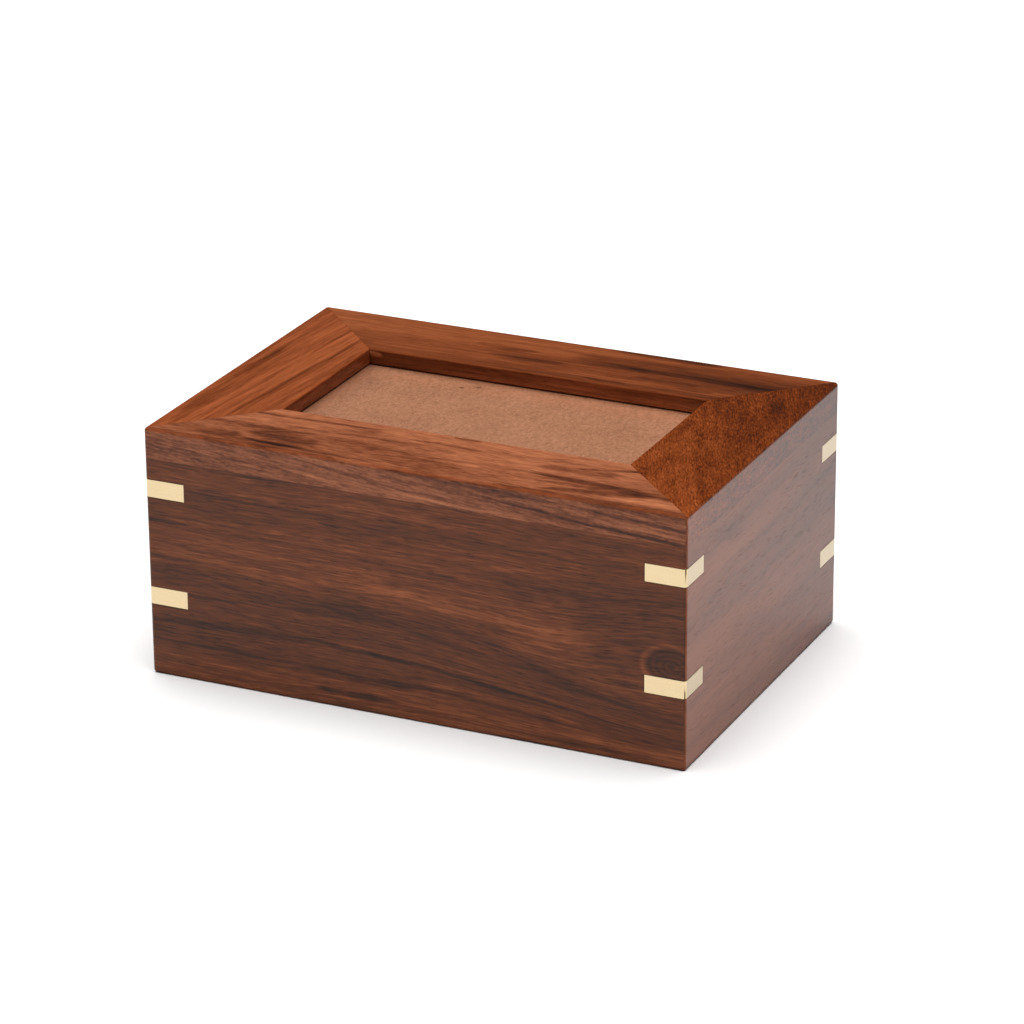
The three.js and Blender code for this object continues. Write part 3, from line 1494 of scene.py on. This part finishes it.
class CornerTree(Tree):
    """A Geometry Nodes tree that sets a shape at four corners and two levels.

    A shape at the upper level stands upright, and one at the lower level is flipped about its bend.
    """

    UPRIGHT: ClassVar[Angles] = (0.0, 0.0, 0.0)
    FLIPPED: ClassVar[Angles] = (math.pi, 0.0, -QUARTER_TURN)

    def __init__(self, name: str) -> None:
        """Builds the tree.

        Args:
            name: The tree's name.
        """
        super().__init__(bpy.data.node_groups.new(name, "GeometryNodeTree"))
        self.identifiers: dict[str, str] = {}
        self._input("Geometry", "NodeSocketGeometry")
        for socket in ("Length", "Depth", "Upper", "Lower"):
            self._input(socket, "NodeSocketFloat")
        self._input("Material", "NodeSocketMaterial")
        self.tree.interface.new_socket("Geometry", in_out="OUTPUT", socket_type="NodeSocketGeometry")
        self.inputs = self.add("NodeGroupInput")
        self._wire()

    def _input(self, name: str, kind: str) -> None:
        """Adds a named input and keeps its identifier.

        Args:
            name: The input's name.
            kind: Its socket type.
        """
        socket = self.tree.interface.new_socket(name, in_out="INPUT", socket_type=kind)
        self.identifiers[name] = socket.identifier

    def _math(self, operation: str, *operands: object) -> bpy.types.NodeSocket:
        """Adds a Math node and gives its output."""
        return self.add("ShaderNodeMath", {"operation": operation}, dict(enumerate(operands)))[0]

    def _wire(self) -> None:
        """Links the corners, the turned copies and the output."""
        size = {"Size X": self.inputs["Length"], "Size Y": self.inputs["Depth"]}
        corners = self.add("GeometryNodeMeshGrid", None, {**size, "Vertices X": 2, "Vertices Y": 2})["Mesh"]
        place = self.add("GeometryNodeInputPosition")["Position"]
        parts = self.add("ShaderNodeSeparateXYZ", None, {0: place})
        signs = [self._math("SIGN", parts[axis]) for axis in ("Y", "X")]
        turn = self._math("ADD", self._math("ARCTAN2", *signs), math.pi / 4)
        euler = self.add("ShaderNodeCombineXYZ", None, {"Z": turn})[0]
        rotation = self.add("FunctionNodeEulerToRotation", None, {0: euler})[0]
        joined = self.add("GeometryNodeJoinGeometry")[0]
        for level, lie in (("Upper", self.UPRIGHT), ("Lower", self.FLIPPED)):
            self.feed(joined.node.inputs[0], self._row(corners, rotation, level, lie))
        solid = self.add("GeometryNodeRealizeInstances", None, {0: joined})[0]
        sockets = {"Geometry": solid, "Material": self.inputs["Material"]}
        self.add("NodeGroupOutput", None, {0: self.add("GeometryNodeSetMaterial", None, sockets)[0]})

    def _row(
        self,
        corners: bpy.types.NodeSocket,
        rotation: bpy.types.NodeSocket,
        level: str,
        lie: Angles,
    ) -> bpy.types.NodeSocket:
        """Sets one copy at each corner of one level.

        Args:
            corners: The four corners on the floor.
            rotation: The turn of each corner's copy.
            level: The input that holds the level's height.
            lie: How the shape is turned about its axes before it goes to its corner.

        Returns:
            The four copies.
        """
        height = self.add("ShaderNodeCombineXYZ", None, {"Z": self.inputs[level]})[0]
        raised = self.add("GeometryNodeTransform", None, {"Geometry": corners, "Translation": height})[0]
        shape = {"Geometry": self.inputs["Geometry"], "Rotation": lie}
        lying = self.add("GeometryNodeTransform", None, shape)[0]
        sockets = {"Points": raised, "Instance": lying, "Rotation": rotation}
        return self.add("GeometryNodeInstanceOnPoints", None, sockets)[0]


@dataclass
class Carcass:
    """The box: four walls round a base panel."""

    sizes: UrnSizes
    inlays: CornerInlays
    panel_edge: float = 0.4 * MM
    panel_gap: float = 0.3 * MM

    FINISHES: ClassVar[dict[Side, Rosewood]] = {
        Side.FRONT: Rosewood(
            Side.FRONT,
            Board.WALL,
            seed=11.0,
            tone=0.53,
            tone_along=0.01,
            tone_across=0.04,
            figure=Figure(
                bands=0.45, lines=0.48, fibres=0.80, wisps=0.14, line_length=40.0, fibre_length=9.0
            ),
            palette=Palette(
                black=(0.020, 0.010, 0.008),
                dark=(0.059, 0.018, 0.008),
                mid=(0.142, 0.038, 0.013),
            ),
            sags=(
                Sag(start=-20.0, end=100.0, drop=17.0, level=36.0, spread=14.0),
                Sag(start=45.0, end=98.0, drop=-6.0, level=47.0, spread=9.0),
            ),
            knot=Knot(centre=(93.0, 36.0), reach=(10.5, 7.5), rings=4.4),
            streaks=(
                Streak((0.0, 74.0), (130.0, 74.0), 6.0, 0.10),
                Streak((25.0, 56.0), (120.0, 57.0), 9.0, 0.09),
                Streak((-130.0, 46.0), (70.0, 45.0), 8.0, -0.10),
                Streak((-110.0, 18.0), (-10.0, 18.0), 8.0, 0.06),
                # painted light: a broad pale band along the foot, standing in for floor light reflected there
                Streak((-130.0, 3.5), (130.0, 3.5), 8.0, -0.15),
                Streak((-25.0, 45.6), (76.0, 43.0), 3.2, -0.15),
                Streak((-20.0, 37.0), (100.0, 31.0), 3.2, 0.12, bow=3.5),
                Streak((-70.0, 34.5), (30.0, 33.0), 3.5, 0.09),
                Streak((-110.0, 21.0), (-40.0, 21.5), 2.2, 0.22),
                Streak((-70.0, 24.0), (100.0, 21.5), 1.5, 0.24, bow=-2.0),
                Streak((-120.0, 13.5), (120.0, 11.0), 1.4, 0.20, bow=0.3),
                Streak((-38.0, 6.0), (-2.0, 5.6), 2.0, 0.40),
                Streak((-90.0, 31.5), (-62.0, 31.0), 1.2, 0.26),
                Streak((-114.0, 44.0), (-74.0, 43.5), 1.6, 0.26),
                Streak((-104.0, 57.0), (-80.0, 56.0), 1.3, 0.30),
                Streak((-34.0, 65.5), (-24.0, 65.4), 0.8, 0.25),
                Streak((5.0, 54.5), (18.0, 54.0), 0.8, 0.22),
                Streak((-74.0, 70.0), (-44.0, 70.5), 1.0, -0.2),
                Streak((26.0, 60.5), (50.0, 60.5), 1.0, -0.2),
                Streak((-50.0, 6.0), (150.0, 6.0), 10.0, -0.10),
                Streak((54.0, 45.0), (92.0, 46.0), 5.0, 0.08),
                Streak((48.0, 50.0), (140.0, 50.0), 11.0, 0.10),
                Streak((0.0, 15.0), (64.0, 15.0), 3.6, -0.14),
                Streak((50.0, 9.0), (140.0, 9.0), 6.0, -0.12),
                Streak((24.0, 42.0), (70.0, 42.0), 3.0, -0.09),
            ),
        ),
        Side.RIGHT: Rosewood(
            Side.RIGHT,
            Board.WALL,
            seed=23.0,
            tone=0.665,
            tone_along=-0.10,
            # painted light: the wall grows paler towards its foot and darker towards its top, standing in for
            # floor light reflected near the foot
            tone_across=-0.045,
            figure=Figure(
                bands=0.6, lines=0.15, fibres=0.25, wisps=0.15, pores=0.08, drift=9.0, curl=3.0,
                band_width=8.0, line_length=20.0,
            ),
        ),
        Side.BACK: Rosewood(
            Side.BACK,
            Board.WALL,
            seed=37.0,
            tone=0.57,
            tone_across=0.06,
            figure=Figure(lines=0.6, drift=8.0),
        ),
        Side.LEFT: Rosewood(Side.LEFT, Board.WALL, seed=41.0, tone=0.57),
    }
    BASE_FINISH: ClassVar[Rosewood] = Rosewood(
        Side.FRONT,
        Board.BASE,
        seed=53.0,
        tone=0.42,
        figure=Figure(bands=0.5, drift=9.0, band_width=10.0),
    )

    def build(self) -> list[bpy.types.Object]:
        """Makes the walls and the base and dresses them.

        Returns:
            The pieces.
        """
        pockets = self.inlays.pockets()
        walls = [self._wall(side, pockets) for side in Side]
        bpy.data.objects.remove(pockets)
        return [*walls, self._base()]

    def _wall(self, side: Side, pockets: bpy.types.Object) -> bpy.types.Object:
        """Makes one wall.

        Args:
            side: Where it stands.
            pockets: The blocks that cut the inlays' recesses.

        Returns:
            The wall.
        """
        wall = new_object(f"{side.label}_wall", MitredBoard(self.sizes, side, self._section()).shape())
        cut = wall.modifiers.new("inlay recesses", "BOOLEAN")
        cut.object = pockets
        cut.operation = "DIFFERENCE"
        cut.solver = "EXACT"
        settle(wall)
        smooth(wall)
        material = f"rosewood_{side.label}_wall"
        return dress(wall, self.FINISHES[side], material, Slot.WALLS, f"wall_{side.label}")

    def _section(self) -> tuple[Place, ...]:
        """A wall's section, rebated at its foot for the base panel.

        Returns:
            The section's corners.
        """
        sizes = self.sizes
        steps = arris_steps(sizes.arris)
        top = sizes.wall_height
        rebate = sizes.depth / 2 + sizes.base_low.y - self.panel_gap
        foot = sizes.base_high.z
        return (
            (0.0, top),
            *((0.0, step) for step in reversed(steps)),
            *((step, 0.0) for step in steps[1:]),
            (rebate, 0.0),
            (rebate, foot),
            (sizes.wall_thickness, foot),
            (sizes.wall_thickness, top),
        )

    def _base(self) -> bpy.types.Object:
        """Makes the base panel.

        Returns:
            The panel.
        """
        sizes = self.sizes
        panel = eased_sheet("base_board", sizes.base_low, sizes.base_high, self.panel_edge)
        return dress(panel, self.BASE_FINISH, "rosewood_base", Slot.BASE, "base_panel")


@dataclass
class PictureFrame:
    """The mitred frame that covers the box, with its pane and backing board."""

    sizes: UrnSizes
    pane_edge: float = 0.25 * MM
    board_edge: float = 0.2 * MM
    air_film: float = 0.12 * MM

    SIGHT_STEPS: ClassVar[int] = 5
    FINISHES: ClassVar[dict[Side, Rosewood]] = {
        Side.FRONT: Rosewood(
            Side.FRONT,
            Board.RAIL,
            seed=61.0,
            tone=0.94,
            tone_across=0.10,
            figure=Figure(
                bands=0.55, lines=0.65, fibres=0.85, wisps=0.25, drift=9.0, edge_slope=0.08, curl=2.0,
                line_length=18.0, fibre_length=5.0,
            ),
            palette=Palette(
                dark=(0.074, 0.022, 0.011),
                mid=(0.154, 0.044, 0.018),
                pale=(0.304, 0.099, 0.044),
                rubbed=(0.226, 0.052, 0.017),
            ),
            rubbing=0.7,
            streaks=(
                Streak((-80.0, -37.8), (-18.0, -36.6), 1.6, 0.44, bow=-1.2),
                Streak((-60.0, -46.5), (2.0, -43.5), 2.0, 0.26),
                Streak((-22.0, -46.0), (10.0, -46.8), 3.6, 0.28),
                Streak((-12.0, -40.4), (18.0, -42.0), 1.4, 0.32),
                Streak((-88.0, -50.0), (-48.0, -50.8), 3.2, 0.20),
                Streak((-104.0, -58.5), (-62.0, -60.5), 4.6, 0.34),
                Streak((-66.0, -56.0), (-36.0, -58.0), 5.4, 0.44),
                Streak((-62.0, -55.0), (-42.0, -49.0), 1.6, 0.30),
                Streak((-66.0, -61.5), (-20.0, -65.0), 1.8, 0.40),
                Streak((-90.0, -51.5), (16.0, -53.5), 8.0, 0.24),
                Streak((-10.0, -54.8), (50.0, -52.8), 1.2, 0.20, bow=1.6),
                Streak((30.0, -50.6), (104.0, -58.0), 2.8, 0.48),
                Streak((34.0, -46.5), (68.0, -43.0), 4.4, 0.38),
                Streak((48.0, -43.5), (76.0, -36.5), 1.6, 0.38),
                Streak((-6.0, -58.5), (34.0, -61.5), 3.2, 0.14),
                Streak((42.0, -63.5), (84.0, -57.0), 3.2, 0.50),
                Streak((0.0, -34.0), (12.0, -34.5), 1.6, 0.34),
                Streak((-110.0, -66.6), (-20.0, -66.6), 2.6, 0.34),
                Streak((24.0, -66.6), (120.0, -66.4), 3.0, 0.42),
                Streak((66.0, -62.0), (112.0, -62.5), 2.4, -0.16),
                Streak((-86.0, -62.0), (-38.0, -62.5), 3.0, 0.24),
                Streak((-6.0, -54.0), (22.0, -54.0), 2.5, -0.20),
                Streak((38.0, -57.5), (84.0, -56.5), 2.4, 0.22),
                Streak((34.0, -54.0), (86.0, -54.0), 6.0, 0.12),
                Streak((-36.0, -38.0), (66.0, -38.0), 4.0, -0.12),
            ),
            edge=EdgeFigure(
                tone=0.06,
                stripes=0.7,
                grit=0.45,
                streaks=(
                    Streak((-170.0, 84.0), (-30.0, 84.0), 9.0, 0.18),
                    Streak((-72.0, 83.5), (-30.0, 79.5), 1.5, 0.26),
                    Streak((-44.0, 87.0), (6.0, 80.5), 1.0, 0.24),
                    Streak((-16.0, 88.5), (52.0, 85.5), 1.4, 0.34),
                    Streak((-4.0, 86.0), (60.0, 79.5), 1.1, 0.26),
                    Streak((10.0, 89.0), (110.0, 82.5), 1.4, 0.28),
                    Streak((26.0, 84.5), (84.0, 79.0), 1.2, 0.26),
                    Streak((52.0, 88.6), (124.0, 85.5), 2.2, 0.32),
                    Streak((-8.0, 80.4), (38.0, 79.4), 1.2, -0.24),
                    Streak((62.0, 82.6), (110.0, 80.2), 1.2, -0.22),
                    Streak((8.0, 86.5), (72.0, 79.5), 1.2, 0.30),
                    Streak((60.0, 80.8), (104.0, 78.2), 1.1, 0.36),
                    Streak((74.0, 85.2), (116.0, 82.4), 1.6, 0.28),
                ),
            ),
        ),
        Side.RIGHT: Rosewood(
            Side.RIGHT,
            Board.RAIL,
            seed=71.0,
            tone=0.57,
            tone_along=-0.16,
            tone_across=-0.05,
            figure=Figure(
                bands=0.55, lines=0.5, fibres=1.2, wisps=0.2, pores=0.12, slope=0.45, curl=1.5,
                line_length=7.0, fibre_length=2.2,
            ),
            palette=Palette(
                dark=(0.063, 0.013, 0.004),
                mid=(0.151, 0.031, 0.006),
                pale=(0.293, 0.070, 0.018),
            ),
            streaks=(
                Streak((-36.0, 76.0), (6.0, 80.0), 9.0, -0.08),
                Streak((-4.0, 90.0), (44.0, 88.0), 8.0, 0.12),
                Streak((-44.0, 71.0), (-16.0, 75.0), 8.0, 0.13),
                Streak((-6.0, 67.0), (14.0, 67.0), 4.0, 0.16),
            ),
            edge=EdgeFigure(tone=0.08, stripes=0.6),
        ),
        Side.BACK: Rosewood(
            Side.BACK,
            Board.RAIL,
            seed=83.0,
            tone=0.68,
            tone_along=-0.09,
            tone_across=0.10,
            figure=Figure(bands=0.45, lines=0.4, fibres=0.5, wisps=0.12, drift=6.0),
            palette=Palette(
                dark=(0.070, 0.018, 0.007),
                mid=(0.154, 0.038, 0.012),
                pale=(0.314, 0.090, 0.031),
            ),
            streaks=(
                Streak((-2.0, 54.0), (130.0, 53.0), 11.0, 0.30),
                Streak((20.0, 51.5), (96.0, 49.5), 3.0, 0.22),
                Streak((-34.0, 52.8), (-6.0, 52.4), 3.0, 0.24),
                Streak((-26.0, 45.6), (8.0, 45.0), 3.0, 0.20),
                Streak((30.0, 43.6), (58.0, 43.0), 2.8, 0.18),
                Streak((48.0, 39.8), (64.0, 39.3), 2.2, 0.16),
                Streak((15.0, 36.3), (33.0, 36.0), 2.0, 0.18),
                Streak((-4.0, 38.5), (110.0, 38.5), 4.0, -0.15),
                Streak((12.0, 65.0), (60.0, 64.5), 3.0, 0.34),
            ),
            edge=EdgeFigure(
                face=NarrowFace.SIGHT,
                streaks=(
                    # painted highlight: a pale streak at the lip's left end, where its top edge catches the
                    # light
                    Streak((-67.5, 88.2), (-58.0, 87.0), 1.5, -1.1),
                    Streak((-40.0, 85.5), (10.0, 86.5), 1.2, 0.2),
                    Streak((-50.0, 84.5), (190.0, 84.5), 7.0, -0.42),
                ),
            ),
        ),
        Side.LEFT: Rosewood(
            Side.LEFT,
            Board.RAIL,
            seed=97.0,
            tone=0.86,
            figure=Figure(
                bands=0.7, lines=0.6, fibres=0.65, wisps=0.12, drift=4.0, slope=-0.1, band_width=8.0
            ),
            palette=Palette(mid=(0.150, 0.035, 0.010), pale=(0.310, 0.080, 0.026)),
            streaks=(
                Streak((50.0, -69.0), (-54.0, -79.0), 1.5, 0.24),
                Streak((60.0, -77.5), (14.0, -80.0), 1.6, 0.22),
                Streak((16.0, -80.0), (-58.0, -86.0), 1.4, 0.20),
                Streak((36.0, -91.0), (-52.0, -95.0), 1.8, 0.12),
                Streak((74.0, -88.5), (30.0, -91.0), 3.0, 0.14),
                Streak((-90.0, -96.5), (90.0, -96.0), 2.6, 0.10),
                Streak((-70.0, -91.0), (34.0, -92.0), 6.0, 0.20),
                Streak((36.0, -94.0), (0.0, -94.5), 3.0, -0.16),
                Streak((40.0, -87.0), (-40.0, -87.5), 3.0, 0.12),
            ),
            edge=EdgeFigure(face=NarrowFace.SIGHT, tone=-0.02, stripes=0.5),
        ),
    }

    def build(self) -> list[bpy.types.Object]:
        """Makes the rails, the pane and the board and dresses them.

        Returns:
            The pieces.
        """
        return [*(self._rail(side) for side in Side), self._pane(), self._backing()]

    def _rail(self, side: Side) -> bpy.types.Object:
        """Makes one rail.

        Args:
            side: Where it lies.

        Returns:
            The rail.
        """
        rail = new_object(f"{side.label}_rail", MitredBoard(self.sizes, side, self._section()).shape())
        smooth(rail)
        material = f"rosewood_{side.label}_rail"
        return dress(rail, self.FINISHES[side], material, Slot.RAILS, f"rail_{side.label}")

    def _section(self) -> tuple[Place, ...]:
        """A rail's section: flat on top, with an eased sight edge and a rebate under its lip.

        Returns:
            The section's corners.
        """
        sizes = self.sizes
        steps = arris_steps(sizes.arris)
        top = sizes.height
        bottom = sizes.wall_height
        rebate = sizes.depth / 2 + sizes.board_low.y
        radius = sizes.sight_edge
        centre = (sizes.rail_width - radius, top - radius)
        angles = [QUARTER_TURN * step / self.SIGHT_STEPS for step in range(self.SIGHT_STEPS + 1)]
        sight_edge = [
            (centre[0] + radius * math.cos(angle), centre[1] + radius * math.sin(angle)) for angle in angles
        ]
        return (
            *((0.0, top - step) for step in steps),
            (0.0, bottom),
            (rebate, bottom),
            (rebate, sizes.lip_underside),
            (sizes.rail_width, sizes.lip_underside),
            *sight_edge,
            *((step, top) for step in reversed(steps[1:])),
        )

    def _pane(self) -> bpy.types.Object:
        """Makes the clear pane.

        Returns:
            The pane.
        """
        sizes = self.sizes
        resting = sizes.pane_low + Vector((0.0, 0.0, self.air_film))
        pane = eased_sheet("picture_pane", resting, sizes.pane_high, self.pane_edge)
        pane.visible_shadow = False
        pane.visible_diffuse = False
        return dress(pane, ClearGlass(), "clear_glass", Slot.PANE, "clear_pane")

    def _backing(self) -> bpy.types.Object:
        """Makes the backing board.

        Returns:
            The board.
        """
        sizes = self.sizes
        board = eased_sheet("picture_backing", sizes.board_low, sizes.board_high, self.board_edge)
        across = (sizes.length / 2 - sizes.rail_width) / MM
        up = (sizes.depth / 2 - sizes.rail_width) / MM
        finish = Hardboard(sight=(across, up))
        return dress(board, finish, "pressed_hardboard", Slot.BACKING, "backing_board")


@dataclass
class Studio:
    """A plain pale floor under a broad soft light, and the camera.

    The camera's angles and the light's spread are in degrees, its lens and sensor in millimetres.
    """

    camera_place: Vector = field(default_factory=lambda: Vector((0.5919, -1.2563, 0.6084)))
    azimuth: float = 25.006
    elevation: float = 21.909
    roll: float = 0.453
    lens: float = 154.77
    sensor: float = 36.0
    near: float = 0.01
    far: float = 100.0
    light_height: float = 2.0
    light_spread: float = 68.0
    light_strength: float = 4.9
    surround: float = 0.02
    floor_size: float = 14.0
    floor_squares: int = 8
    floor_drop: float = 0.05 * MM

    def build(self) -> None:
        """Sets up the camera, the light, the surround and the floor."""
        self._camera()
        self._light()
        self._surround()
        self._floor()
        bpy.context.scene.view_settings.view_transform = "Standard"

    def _camera(self) -> None:
        """Places the camera at the viewing angle."""
        data = bpy.data.cameras.new("camera")
        data.sensor_width = self.sensor
        data.lens = self.lens
        data.clip_start = self.near
        data.clip_end = self.far
        camera = bpy.data.objects.new("camera", data)
        turned = Matrix.Rotation(math.radians(self.azimuth), 4, "Z")
        tipped = Matrix.Rotation(math.radians(90.0 - self.elevation), 4, "X")
        rolled = Matrix.Rotation(math.radians(-self.roll), 4, "Z")
        camera.matrix_world = Matrix.Translation(self.camera_place) @ turned @ tipped @ rolled
        bpy.context.scene.collection.objects.link(camera)
        bpy.context.scene.camera = camera

    def _light(self) -> None:
        """Hangs a broad soft light overhead, which no mirror image shows."""
        data = bpy.data.lights.new("overhead_light", "SUN")
        data.angle = math.radians(self.light_spread)
        data.energy = self.light_strength
        light = bpy.data.objects.new("overhead_light", data)
        light.location.z = self.light_height
        light.visible_glossy = False
        light.visible_transmission = False
        bpy.context.scene.collection.objects.link(light)

    def _surround(self) -> None:
        """Makes a white backdrop for the camera that sheds only a little light."""
        world = bpy.data.worlds.new("surround")
        world.use_nodes = True
        tree = Tree(world.node_tree)
        seen = tree.add("ShaderNodeLightPath")["Is Camera Ray"]
        sockets = {"Value": seen, "To Min": self.surround, "To Max": 1.0}
        strength = tree.add("ShaderNodeMapRange", None, sockets)
        background = world.node_tree.nodes["Background"].inputs
        tree.feed(background["Color"], WHITE)
        tree.feed(background["Strength"], strength["Result"])
        bpy.context.scene.world = world

    def _floor(self) -> None:
        """Lays the floor."""
        shape = bmesh.new()
        squares = self.floor_squares
        bmesh.ops.create_grid(shape, x_segments=squares, y_segments=squares, size=self.floor_size / 2)
        floor = new_object("studio_floor", shape)
        for vert in floor.data.vertices:
            vert.co.z = -self.floor_drop
        floor.data.materials.append(StudioPaper().material("pale_paper"))


def main() -> None:
    """Builds the studio and the urn."""
    logging.basicConfig(level=logging.INFO, format="%(message)s")
    sizes = UrnSizes.from_frame()
    inlays = CornerInlays(sizes)
    Studio().build()
    pieces = [*Carcass(sizes, inlays).build(), inlays.build(), *PictureFrame(sizes).build()]
    LOG.info("%d pieces", len(pieces))


if __name__ == "__main__":
    main()
